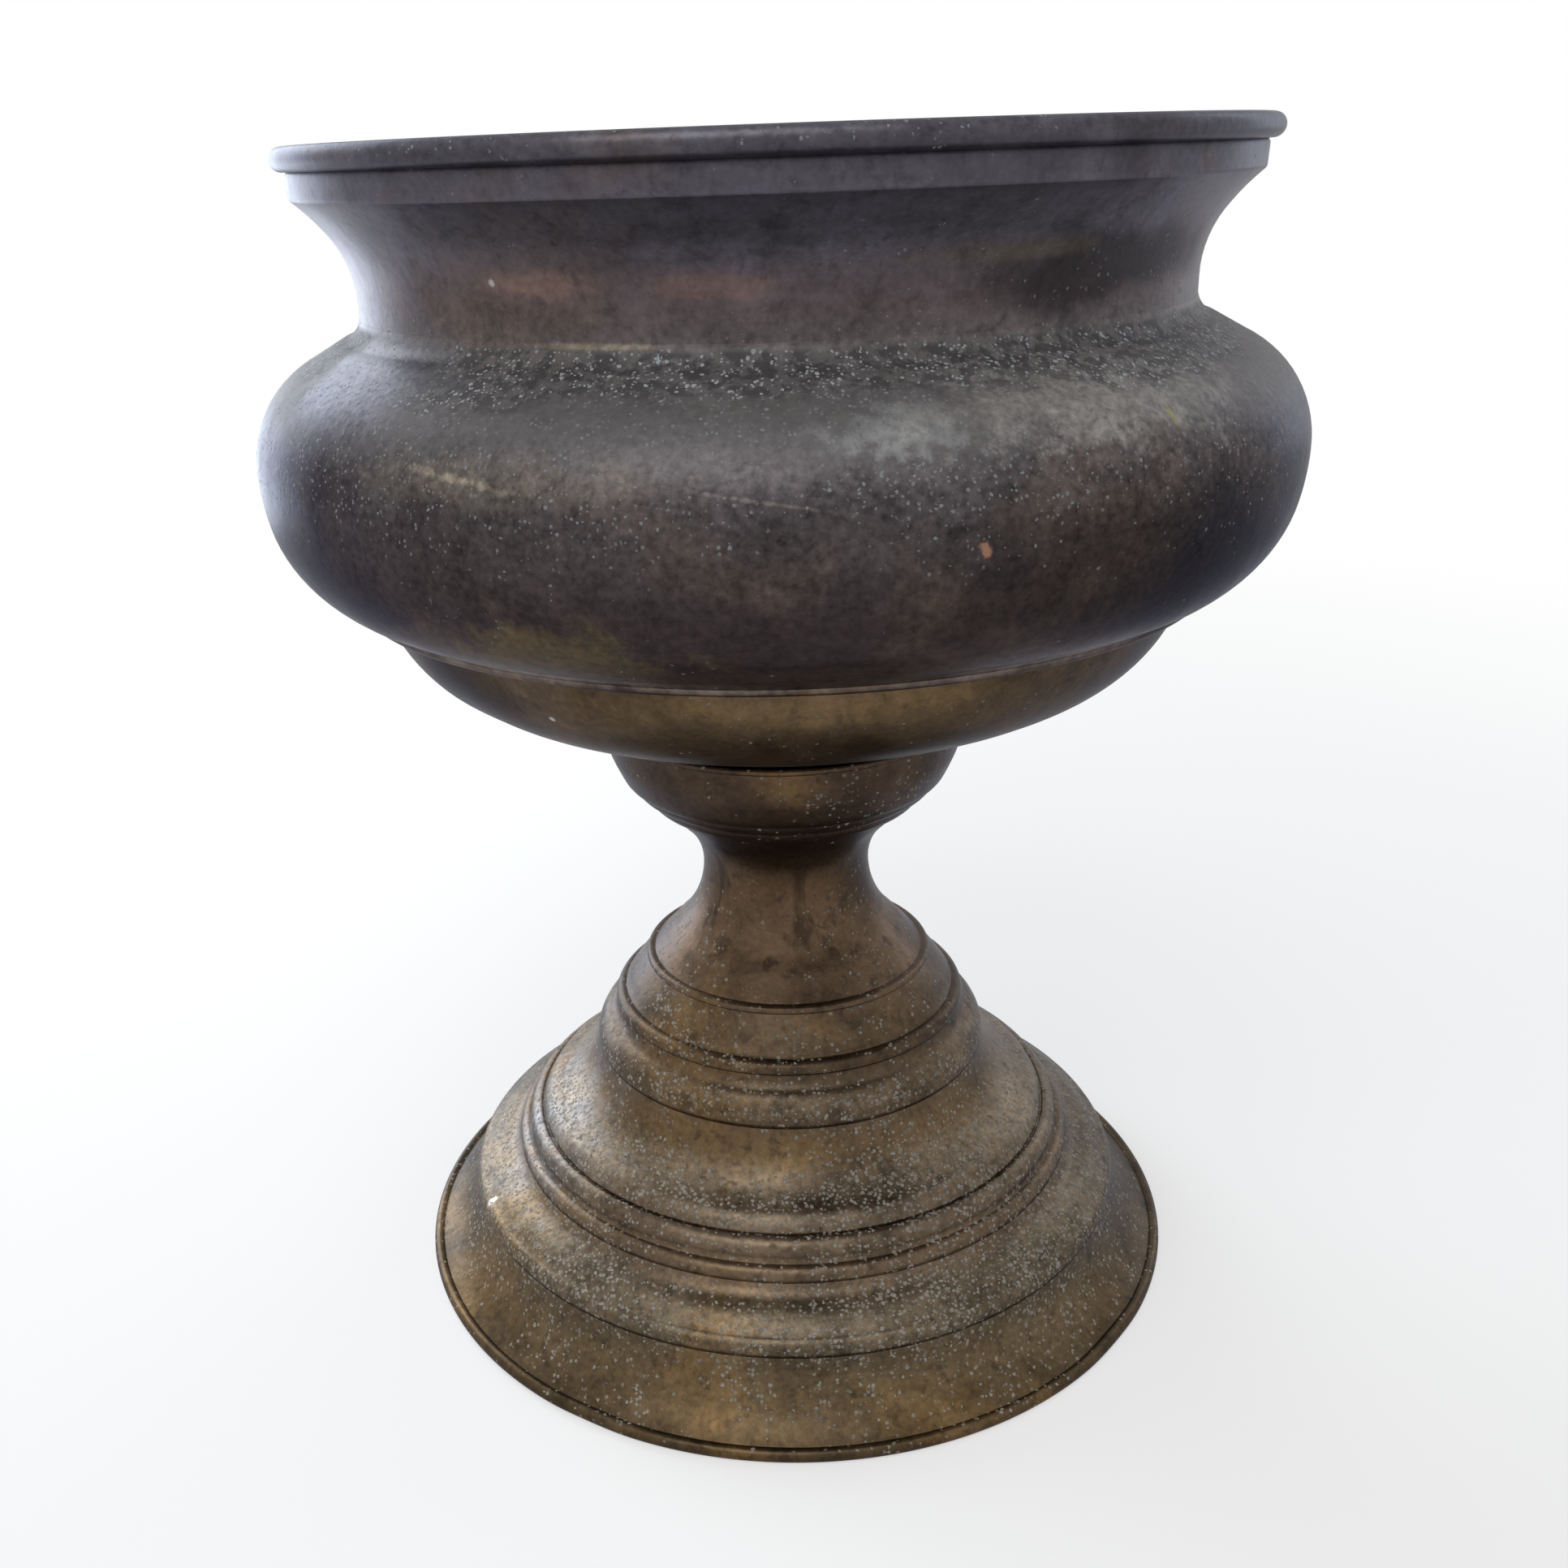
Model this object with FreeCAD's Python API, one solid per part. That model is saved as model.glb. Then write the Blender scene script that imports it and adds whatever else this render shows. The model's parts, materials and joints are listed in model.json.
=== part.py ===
import FreeCAD, Part
import math
import os
from FreeCAD import Vector

# Jardiniere on stand: a spun bowl whose foot drops into the cup of a spun, stepped stand.
# Millimetres, +Z up, origin on the floor under the axis. Every outline below is a meridian,
# drawn upwards as (radius, height, swell): swell is how far that stretch bellies outwards
# from its straight chord, and a negative swell is a hollow.

# Sheet metal
sheet = 1.6                 # wall of every spun piece
fit_gap = 0.1               # radial clearance where one piece enters another
wire_gap = 0.3              # between a wire and the sheet rolled round it
register_height = 4.0       # lip that centres one spun piece in the next
register_width = 14.0       # width of the turned-in flanges

# Foot skirt and its rolled edge
base_radius = 251.0         # outside of the rolled edge
base_roll = 4.0             # outer radius of the rolled edge
base_curl_gap = (100, 170)  # degrees, from where the sheet leaves the curl to its raw edge
worn_flat = 0.5             # depth of the flat worn under the rolled edge
skirt_height = 82.0
skirt_top_radius = 180.0
tier_radius = 217.0         # edge of the widest roll
tier_height = 49.5          # its widest point

# Raised bead between two grooves
bead_height = 12.5
bead_overhang = 1.6         # of its lower edge past the skirt's top
bead_top_radius = 166.0

# Dome: a hollow tier under a convex one
dome_height = 83.5
dome_overhang = 2.0         # of its lowest roll past the bead's top
dome_top_radius = 109.6
dome_tier_radius = 128.8
dome_tier_height = 50.0     # above the dome's own foot

# Band under the trumpet
band_height = 26.5
band_setback = 0.2          # of its lower edge from the dome's top
band_top_radius = 89.8

# Trumpet and waist
stem_height = 104.5
stem_setback = 2.0          # of its lower edge from the band's top
waist_radius = 53.2
waist_height = 61.5         # above the stem's own foot
stem_top_radius = 79.0

# The two reeds and the cup
reed_height = 8.5
reed_swell = 1.5
lower_reed_radius = 88.5
upper_reed_radius = 97.2
reed_bore = 60.0
cup_height = 40.0
cup_radius = 112.0
cup_floor_radius = 98.5

# Plate, rod, nuts and bar inside the stand
plate_clearance = 3.5       # from its edge to the corner of the cup's floor
plate_thickness = 4.0
rod_radius = 6.0
rod_gap = 0.3               # clearance of the holes that the rod passes through
rod_end = 4.0               # thread standing past each nut
washer_radius = 15.0
washer_thickness = 2.5
nut_flats = 19.0
nut_height = 10.0
bar_width = 28.0
bar_thickness = 6.0
bar_end_gap = 3.0           # from the bar's end to the skirt's wall

# Bowl foot, basin, belly and flare
foot_ring_radius = 93.0
foot_ring_wall = 3.0
foot_ring_height = 37.4
foot_flange_width = 9.0
basin_floor_radius = 105.0
basin_height = 90.0         # from its floor to the underside of its flange
basin_radius = 237.6
basin_flange_width = 7.0
belly_height = 156.5        # from the step up to the seam in the neck
belly_radius = 296.3
belly_middle = 79.0         # the widest place, above the step
neck_radius = 232.4
seam_lap = 9.0              # lip of the belly inside the flare
flare_height = 61.0         # from the seam to the lower edge of the upright band
band_low_radius = 260.8
band_high_radius = 262.6
rim_radius = 269.8          # outside of the rolled rim
rim_roll = 6.2              # outer radius of the rolled rim
rim_curl_gap = (200, 257)   # degrees, from where the sheet leaves the curl to its raw edge
upright_height = 14.6       # from the upright band's lower edge to the roll


def arc_or_line(start, end, swell):
    """Edge from start to end in the XZ plane, bellied to the right of travel by swell."""
    if swell == 0:
        return Part.makeLine(start, end)
    run = end - start
    outward = Vector(run.z, 0, -run.x).normalize()
    return Part.Arc(start, (start + end) * 0.5 + outward * swell, end).toShape()


def corners(points):
    """The points as (vector, swell of the stretch that ends there)."""
    return [(Vector(p[0], 0, p[1]), p[2] if len(p) > 2 else 0) for p in points]


def meridian(points):
    """Edges through (radius, height, swell) points."""
    marks = corners(points)
    return [arc_or_line(low[0], high[0], high[1]) for low, high in zip(marks, marks[1:])]


def heading(start, end, swell, at_end):
    """Direction of travel, as an angle, where a stretch starts or ends."""
    run = end - start
    lean = 2 * math.atan2(2 * swell, run.Length)
    return math.atan2(run.z, run.x) + (lean if at_end else -lean)


def inner_side(points):
    """The points moved a sheet's thickness to the left of travel, mitred at the corners."""
    marks = corners(points)
    turns = []
    for low, high in zip(marks, marks[1:]):
        turns.append([heading(low[0], high[0], high[1], end) for end in (False, True)])
    inner = []
    for k, (place, swell) in enumerate(marks):
        come = turns[k - 1][1] if k > 0 else turns[0][0]
        go = turns[k][0] if k < len(turns) else turns[-1][1]
        half = math.remainder(go - come, 2 * math.pi) / 2
        side = come + half + math.pi / 2
        reach = sheet / math.cos(half)
        moved = place + Vector(math.cos(side), 0, math.sin(side)) * reach
        inner.append((moved, swell))
    return inner


def sheet_section(points):
    """Section of a spun sheet whose outer face follows the points."""
    outer = meridian(points)
    marks = corners(points)
    inner = inner_side(points)
    back = []
    for k in range(len(inner) - 1, 0, -1):
        swell = marks[k][1]
        start = inner[k - 1][0]
        end = inner[k][0]
        if swell == 0:
            back.append(Part.makeLine(end, start))
            continue
        run = marks[k][0] - marks[k - 1][0]
        outward = Vector(run.z, 0, -run.x).normalize()
        middle = (marks[k - 1][0] + marks[k][0]) * 0.5 + outward * (swell - sheet)
        back.append(Part.Arc(end, middle, start).toShape())
    cap = Part.makeLine(marks[-1][0], inner[-1][0])
    foot = Part.makeLine(inner[0][0], marks[0][0])
    return Part.Face(Part.Wire(outer + [cap] + back + [foot]))


def turn(section):
    """Solid of revolution of a section about the axis."""
    return section.revolve(Vector(0, 0, 0), Vector(0, 0, 1), 360)


def spun(points):
    return turn(sheet_section(points))


def ring(inner, outer, low, high):
    """Plain turned ring."""
    blank = Part.makeCylinder(outer, high - low, Vector(0, 0, low))
    return blank.cut(Part.makeCylinder(inner, high - low, Vector(0, 0, low))).Solids[0]


def disc_section(radius, height, size):
    """Round section of the given size, centred at a radius and a height."""
    circle = Part.Circle(Vector(radius, 0, height), Vector(0, 1, 0), size)
    return Part.Face(Part.Wire([circle.toShape()]))


def on_roll(centre, size, degrees):
    """Radius and height of a point at an angle on a circle round a roll's centre."""
    turned = math.radians(degrees)
    return (centre[0] + size * math.cos(turned), centre[1] + size * math.sin(turned))


def with_rolled_edge(points, centre, roll, curl_gap):
    """Spun sheet with a curl round a wire at one end, the curl open between two angles."""
    hollow = disc_section(centre[0], centre[1], roll - sheet)
    curl = disc_section(centre[0], centre[1], roll).cut(hollow)
    marks = [centre] + [on_roll(centre, roll * 2, a) for a in curl_gap] + [centre]
    opening = Part.Face(Part.makePolygon([Vector(r, 0, z) for r, z in marks]))
    curled = turn(curl.cut(opening).Faces[0])
    return spun(points).fuse(curled).cut(turn(hollow)).removeSplitter().Solids[0]


def wire_in_roll(centre, roll):
    """Iron wire that the sheet is rolled round."""
    return turn(disc_section(centre[0], centre[1], roll - sheet - wire_gap))


def hexagon(height, low):
    """Hexagon nut bored for the rod."""
    reach = nut_flats / 2 / math.cos(math.pi / 6)
    turns = [math.radians(60 * k) for k in range(7)]
    outline = [Vector(reach * math.cos(a), reach * math.sin(a), low) for a in turns]
    blank = Part.Face(Part.makePolygon(outline)).extrude(Vector(0, 0, height))
    bevel = Part.makeCone(reach - height * 0.1, reach + height * 1.6, height * 1.7, Vector(0, 0, low))
    blank = blank.common(bevel)
    return blank.cut(Part.makeCylinder(rod_radius + fit_gap / 2, height, Vector(0, 0, low))).Solids[0]


# Heights of the joints, stacked from the floor up
skirt_top = skirt_height
bead_top = skirt_top + bead_height
dome_top = bead_top + dome_height
band_top = dome_top + band_height
stem_top = band_top + stem_height
reed_top = stem_top + 2 * reed_height
cup_floor = reed_top + sheet
cup_top = reed_top + cup_height
plate_top = cup_floor + plate_thickness
basin_floor = plate_top + foot_ring_height
step_height = basin_floor + basin_height - sheet
seam_height = step_height + belly_height
upright_low = seam_height + flare_height
upright_high = upright_low + upright_height

# Inner radius of each turned-in flange, where the lip of the piece below comes through
skirt_register = skirt_top_radius - register_width
bead_register = bead_top_radius - register_width
dome_register = dome_top_radius - register_width
band_register = band_top_radius - register_width
base_centre = (base_radius - base_roll, base_roll - worn_flat)
bead_radius = skirt_top_radius + bead_overhang
dome_radius = bead_top_radius + dome_overhang
band_radius = dome_top_radius - band_setback
stem_radius = band_top_radius - stem_setback
rim_centre = (rim_radius - rim_roll, upright_high + rim_roll)


def flange_with_lip(radius, height, lip=register_height):
    """Turned-in flange at a height that ends in an upright lip."""
    return [(radius, height), (radius, height + lip)]


def foot_skirt():
    over = on_roll(base_centre, base_roll, 95)
    crease = on_roll(base_centre, base_roll, 130)
    points = [over,
              crease + (base_roll * (1 - math.cos(math.radians(17.5))),),
              (tier_radius - 0.6, tier_height - 4.5, -5.4),
              (tier_radius, tier_height, 0.3),
              (tier_radius - 5.6, tier_height + 6.6, 1.3),
              (tier_radius - 23.5, tier_height + 17.0, 1.2),
              (skirt_top_radius, skirt_top, -2.4)]
    points += flange_with_lip(skirt_register, skirt_top)
    whole = with_rolled_edge(points, base_centre, base_roll, base_curl_gap)
    floor = Part.makeCylinder(base_radius + base_roll, base_roll, Vector(0, 0, -base_roll))
    return whole.cut(floor).Solids[0]


def base_wire():
    return wire_in_roll(base_centre, base_roll)


def foot_bead():
    points = [(skirt_register + fit_gap, skirt_top),
              (bead_radius, skirt_top),
              (bead_top_radius + 3.5, bead_top + 0.4, 1.9),
              (bead_top_radius, bead_top)]
    return spun(points + flange_with_lip(bead_register, bead_top))


def foot_dome():
    tier = bead_top + dome_tier_height
    points = [(bead_register + fit_gap, bead_top),
              (dome_radius - 3.6, bead_top),
              (dome_radius, bead_top + 3.2, 0.4),
              (dome_radius - 10.5, bead_top + 11.5, 1.3),
              (dome_tier_radius - 1.6, tier - 4.0, -4.6),
              (dome_tier_radius, tier, 0.3),
              (dome_tier_radius - 8.8, tier + 16.5, 0.9),
              (dome_top_radius + 4.8, dome_top - 8.5, -1.0),
              (dome_top_radius + 4.4, dome_top - 4.8, 0.7),
              (dome_top_radius, dome_top)]
    return spun(points + flange_with_lip(dome_register, dome_top))


def stem_band():
    points = [(dome_register + fit_gap, dome_top),
              (band_radius, dome_top),
              (band_top_radius + 2.2, band_top - 3.2, 0.4),
              (band_top_radius, band_top, 0.5)]
    return spun(points + flange_with_lip(band_register, band_top))


def stem():
    waist = band_top + waist_height
    points = [(band_register + fit_gap, band_top),
              (stem_radius, band_top),
              (stem_radius - 13.4, band_top + 14.5, -0.3),
              (waist_radius, waist, -5.4),
              (waist_radius + 12.8, stem_top - 13.0, -3.3),
              (stem_top_radius, stem_top)]
    lip = 2 * reed_height + sheet
    return spun(points + flange_with_lip(reed_bore - fit_gap, stem_top, lip))


def reed(low, radius):
    """Turned ring with a round nose, bored for the stem's lip."""
    high = low + reed_height
    nose = [(reed_bore, low), (radius - reed_height, low), (radius, high, reed_swell), (reed_bore, high),
            (reed_bore, low)]
    return turn(Part.Face(Part.Wire(meridian(nose))))


def lower_reed():
    return reed(stem_top, lower_reed_radius)


def upper_reed():
    return reed(stem_top + reed_height, upper_reed_radius)


def collar_cup():
    points = [(reed_bore, reed_top),
              (cup_floor_radius, reed_top),
              (cup_floor_radius + 4.5, reed_top + 5.5, 0.5),
              (cup_radius - 2.6, cup_top - 20.0, 0.2),
              (cup_radius, cup_top - 1.5, 0.3),
              (cup_radius - 0.4, cup_top)]
    return spun(points)


def seat_plate():
    return ring(rod_radius + rod_gap, cup_floor_radius - plate_clearance, cup_floor, plate_top)


bar_top = skirt_top - sheet
bar_low = bar_top - bar_thickness
top_nut_low = plate_top + washer_thickness
bottom_nut_top = bar_low - washer_thickness


def tie_rod():
    low = bottom_nut_top - nut_height - rod_end
    high = top_nut_low + nut_height + rod_end
    rod = Part.makeCylinder(rod_radius, high - low, Vector(0, 0, low))
    ends = [edge for edge in rod.Edges if edge.Closed]
    return rod.makeChamfer(rod_radius / 6, ends).Solids[0]


def bridge_bar():
    half = skirt_top_radius - sheet - bar_end_gap
    blank = Part.makeBox(2 * half, bar_width, bar_thickness, Vector(-half, -bar_width / 2, bar_low))
    rounded = blank.common(Part.makeCylinder(half, bar_thickness, Vector(0, 0, bar_low)))
    hole = Part.makeCylinder(rod_radius + rod_gap, bar_thickness, Vector(0, 0, bar_low))
    return rounded.cut(hole).Solids[0]


def washer(low):
    return ring(rod_radius + rod_gap, washer_radius, low, low + washer_thickness)


def bowl_foot():
    """Upright ring under the basin with a flange that is soldered to the basin's floor."""
    ring_inner = foot_ring_radius - foot_ring_wall
    upright = ring(ring_inner, foot_ring_radius, plate_top, basin_floor)
    flange_outer = foot_ring_radius + foot_flange_width
    flange = ring(ring_inner, flange_outer, basin_floor - foot_ring_wall, basin_floor)
    return upright.fuse(flange).removeSplitter().Solids[0]


def basin():
    flange_low = basin_floor + basin_height
    points = [(0, basin_floor),
              (basin_floor_radius, basin_floor),
              (basin_radius - 59.6, flange_low - 63.5, 1.0),
              (basin_radius - 44.0, flange_low - 57.0, 0.6),
              (basin_radius, flange_low - 3.5, 7.6),
              (basin_radius, flange_low),
              (basin_radius + basin_flange_width, flange_low)]
    return spun(points)


def bulge_shell():
    middle = step_height + belly_middle
    points = [(basin_radius + fit_gap, step_height),
              (basin_radius + 9.0, step_height - 0.8),
              (basin_radius + 14.6, step_height + 3.6, 1.6),
              (belly_radius - 32.0, middle - 68.6, -0.6),
              (belly_radius - 4.3, middle - 31.0, 4.0),
              (belly_radius, middle, 1.0),
              (neck_radius + 29.6, seam_height - 22.0, 9.6),
              (neck_radius + 11.7, seam_height - 12.0),
              (neck_radius + 0.6, seam_height, -2.5),
              (neck_radius - sheet - fit_gap, seam_height)]
    return spun(points + [(neck_radius - sheet - fit_gap, seam_height + seam_lap)])


def flare_collar():
    hollow = rim_roll - sheet
    behind = on_roll(rim_centre, hollow, rim_curl_gap[0])
    inside = on_roll(rim_centre, hollow, 180)
    points = [(neck_radius, seam_height),
              (neck_radius, seam_height + seam_lap),
              (neck_radius + 13.6, upright_low - 15.0, -3.6),
              (band_low_radius, upright_low, -0.5),
              (band_low_radius + 1.3, upright_low + 2.2, 0.3),
              (band_high_radius, upright_high - 1.8),
              behind,
              inside + (hollow * (math.cos(math.radians(rim_curl_gap[0] - 180) / 2) - 1),)]
    return with_rolled_edge(points, rim_centre, rim_roll, rim_curl_gap)


def rim_wire():
    return wire_in_roll(rim_centre, rim_roll)


pieces = {
    "foot_skirt": foot_skirt(),
    "base_wire": base_wire(),
    "foot_bead": foot_bead(),
    "foot_dome": foot_dome(),
    "stem_band": stem_band(),
    "stem": stem(),
    "lower_reed": lower_reed(),
    "upper_reed": upper_reed(),
    "collar_cup": collar_cup(),
    "seat_plate": seat_plate(),
    "tie_rod": tie_rod(),
    "rod_washer_top": washer(plate_top),
    "rod_nut_top": hexagon(nut_height, top_nut_low),
    "bridge_bar": bridge_bar(),
    "rod_washer_bottom": washer(bottom_nut_top),
    "rod_nut_bottom": hexagon(nut_height, bottom_nut_top - nut_height),
    "bowl_foot": bowl_foot(),
    "basin": basin(),
    "bulge_shell": bulge_shell(),
    "flare_collar": flare_collar(),
    "rim_wire": rim_wire(),
}

os.makedirs("parts", exist_ok=True)
for name, shape in pieces.items():
    shape.exportStep("parts/" + name + ".step")
    box = shape.BoundBox
    print(name, "solids", len(shape.Solids), "valid", shape.isValid(), "r", round(box.XMax, 2),
          "z", round(box.ZMin, 2), round(box.ZMax, 2), "volume", round(shape.Volume))
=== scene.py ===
import json
import math

import bpy
from mathutils import Matrix, Vector


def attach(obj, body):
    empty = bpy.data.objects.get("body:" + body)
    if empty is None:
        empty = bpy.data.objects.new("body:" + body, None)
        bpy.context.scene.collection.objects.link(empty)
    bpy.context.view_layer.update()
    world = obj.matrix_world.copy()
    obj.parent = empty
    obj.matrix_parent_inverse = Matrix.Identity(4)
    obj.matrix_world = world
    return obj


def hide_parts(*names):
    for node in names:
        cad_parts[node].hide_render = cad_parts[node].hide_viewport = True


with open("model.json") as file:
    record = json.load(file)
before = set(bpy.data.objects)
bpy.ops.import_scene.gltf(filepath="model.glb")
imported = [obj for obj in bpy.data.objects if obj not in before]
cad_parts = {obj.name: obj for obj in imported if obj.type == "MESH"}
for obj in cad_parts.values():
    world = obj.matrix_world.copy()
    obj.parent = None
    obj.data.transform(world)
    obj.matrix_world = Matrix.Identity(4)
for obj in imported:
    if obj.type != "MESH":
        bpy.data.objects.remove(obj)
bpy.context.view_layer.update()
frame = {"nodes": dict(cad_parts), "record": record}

mm = 0.001
bodyOf = {
    node: body
    for body, nodes in frame["record"]["behaviour"]["bodies"].items()
    for node in nodes
}


# camera, as the photograph was taken

cameraView = {
    "place": (0.0, -0.9537, 0.6918),
    "pitch": 21.49,      # degrees down
    "yaw": -2.39,
    "roll": -2.05,
    "sensor": 36,        # mm
    "lens": 36.82,
    "shiftX": 0.0395,
    "shiftY": 0.0,
    "nearest": 0.01,
}


def placeCamera(view):
    pitch, yaw, roll = (math.radians(view[k]) for k in ("pitch", "yaw", "roll"))
    ahead = Vector((math.sin(yaw), math.cos(yaw), 0))
    side = Vector((math.cos(yaw), -math.sin(yaw), 0))
    top = Vector((0, 0, 1))
    look = ahead * math.cos(pitch) - top * math.sin(pitch)
    lift = ahead * math.sin(pitch) + top * math.cos(pitch)
    right = side * math.cos(roll) + lift * math.sin(roll)
    up = lift * math.cos(roll) - side * math.sin(roll)
    data = bpy.data.cameras.new("photoCamera")
    data.sensor_width = view["sensor"]
    data.lens = view["lens"]
    data.shift_x = view["shiftX"]
    data.shift_y = view["shiftY"]
    data.clip_start = view["nearest"]
    camera = bpy.data.objects.new("photoCamera", data)
    bpy.context.scene.collection.objects.link(camera)
    turn = Matrix((right, up, -look)).transposed().to_4x4()
    camera.matrix_world = Matrix.Translation(view["place"]) @ turn
    bpy.context.scene.camera = camera


placeCamera(cameraView)
print("camera placed")


# modelling helpers

spinning = {
    "straight": 7.2,     # mm between points on a straight run, about
    "arc": 4.8,          # and on an arc
    "turn": 0.16,        # the most that an arc turns between points, in radians
    "seed": 2,           # size of the plane that is merged into the first point
    "weld": 0.02,
    "wall": 1.6,
    "crease": 32,        # degrees
}


def deselectAll():
    if bpy.context.object and bpy.context.object.mode != "OBJECT":
        bpy.ops.object.mode_set(mode="OBJECT")
    bpy.ops.object.select_all(action="DESELECT")


def arcPoints(start, end, swell):
    # swell bellies the arc out to the right of travel
    run = end - start
    half = 2 * math.atan2(2 * abs(swell), run.length)
    size = run.length / 2 / math.sin(half)
    out = Vector((run.z, 0, -run.x)).normalized() * math.copysign(1, swell)
    centre = (start + end) / 2 + out * (abs(swell) - size)
    count = max(3, round(max(2 * half / spinning["turn"], 2 * half * size / spinning["arc"])))
    first = math.atan2((start - centre).z, (start - centre).x)
    sweep = math.copysign(2 * half, swell)
    points = []
    for k in range(1, count + 1):
        angle = first + sweep * k / count
        points.append(centre + Vector((math.cos(angle), 0, math.sin(angle))) * size)
    points[-1] = end
    return points


def meridianPoints(marks):
    # (radius, height, swell) marks in mm to closely spaced points
    points = [Vector((marks[0][0], 0, marks[0][1]))]
    for low, high in zip(marks, marks[1:]):
        start = Vector((low[0], 0, low[1]))
        end = Vector((high[0], 0, high[1]))
        if len(high) > 2:
            points += arcPoints(start, end, high[2])
        else:
            count = max(1, round((end - start).length / spinning["straight"]))
            points += [start.lerp(end, k / count) for k in range(1, count + 1)]
    return points


def spinSheet(name, marks, steps, wall=spinning["wall"]):
    # a spun sheet: its outer meridian is drawn point by point, spun, and given its wall inwards
    points = meridianPoints(marks)
    deselectAll()
    bpy.ops.mesh.primitive_plane_add(size=spinning["seed"] * mm, location=points[0] * mm)
    piece = bpy.context.object
    piece.name = name
    bpy.ops.object.transform_apply(location=True, rotation=True, scale=True)
    bpy.ops.object.mode_set(mode="EDIT")
    bpy.ops.mesh.select_all(action="SELECT")
    bpy.ops.mesh.merge(type="CENTER")
    for here, there in zip(points, points[1:]):
        bpy.ops.mesh.extrude_vertices_move(TRANSFORM_OT_translate={"value": (there - here) * mm})
    bpy.ops.mesh.select_all(action="SELECT")
    bpy.ops.mesh.spin(steps=steps, angle=2 * math.pi, center=(0, 0, 0), axis=(0, 0, 1))
    bpy.ops.mesh.select_all(action="SELECT")
    bpy.ops.mesh.remove_doubles(threshold=spinning["weld"] * mm)
    bpy.ops.mesh.select_all(action="SELECT")
    bpy.ops.mesh.normals_make_consistent(inside=False)
    bpy.ops.object.mode_set(mode="OBJECT")
    faceOutwards(piece, points)
    if wall:
        thick = piece.modifiers.new("wall", "SOLIDIFY")
        thick.thickness = wall * mm
        thick.offset = -1
        thick.use_even_offset = True
        bpy.ops.object.modifier_apply(modifier="wall")
    bpy.ops.object.shade_smooth_by_angle(angle=math.radians(spinning["crease"]))
    return piece


def faceOutwards(piece, points):
    # the wall goes to the left of the drawn meridian, so the faces must look to its right
    low, high = points[0], points[1]
    run = high - low
    wanted = Vector((run.z, 0, -run.x)).normalized()
    middle = (low + high) / 2 * mm

    def awayFromMiddle(face):
        across = math.hypot(face.center.x, face.center.y) - middle.x
        return across ** 2 + (face.center.z - middle.z) ** 2

    best = min(piece.data.polygons, key=awayFromMiddle)
    around = Vector((best.center.x, best.center.y, 0)).normalized()
    facing = best.normal.dot(around) * wanted.x + best.normal.z * wanted.z
    if facing < 0:
        bpy.ops.object.mode_set(mode="EDIT")
        bpy.ops.mesh.select_all(action="SELECT")
        bpy.ops.mesh.flip_normals()
        bpy.ops.object.mode_set(mode="OBJECT")


def pushIn(piece, place, reach, depth):
    # a shallow dent by a proportional move of the nearest point
    deselectAll()
    piece.select_set(True)
    bpy.context.view_layer.objects.active = piece
    spot = Vector(place) * mm
    for part in (piece.data.vertices, piece.data.edges, piece.data.polygons):
        for item in part:
            item.select = False
    nearest = min(piece.data.vertices, key=lambda v: (v.co - spot).length_squared)
    nearest.select = True
    inward = Vector((-spot.x, -spot.y, 0)).normalized() * depth * mm
    bpy.ops.object.mode_set(mode="EDIT")
    bpy.ops.mesh.select_mode(type="VERT")
    bpy.ops.transform.translate(value=inward, use_proportional_edit=True,
                                proportional_edit_falloff="SMOOTH", proportional_size=reach * mm)
    bpy.ops.object.mode_set(mode="OBJECT")


def dressAs(piece, node, material):
    piece.data.materials.clear()
    piece.data.materials.append(material)
    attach(piece, bodyOf[node])
    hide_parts(node)
    print("made", piece.name, len(piece.data.polygons), "faces")


def makeSpun(name, node, plan, material):
    piece = spinSheet(name, plan["meridian"], plan["steps"])
    for place, reach, depth in plan.get("dents", []):
        pushIn(piece, place, reach, depth)
    dressAs(piece, node, material)


# materials

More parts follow.
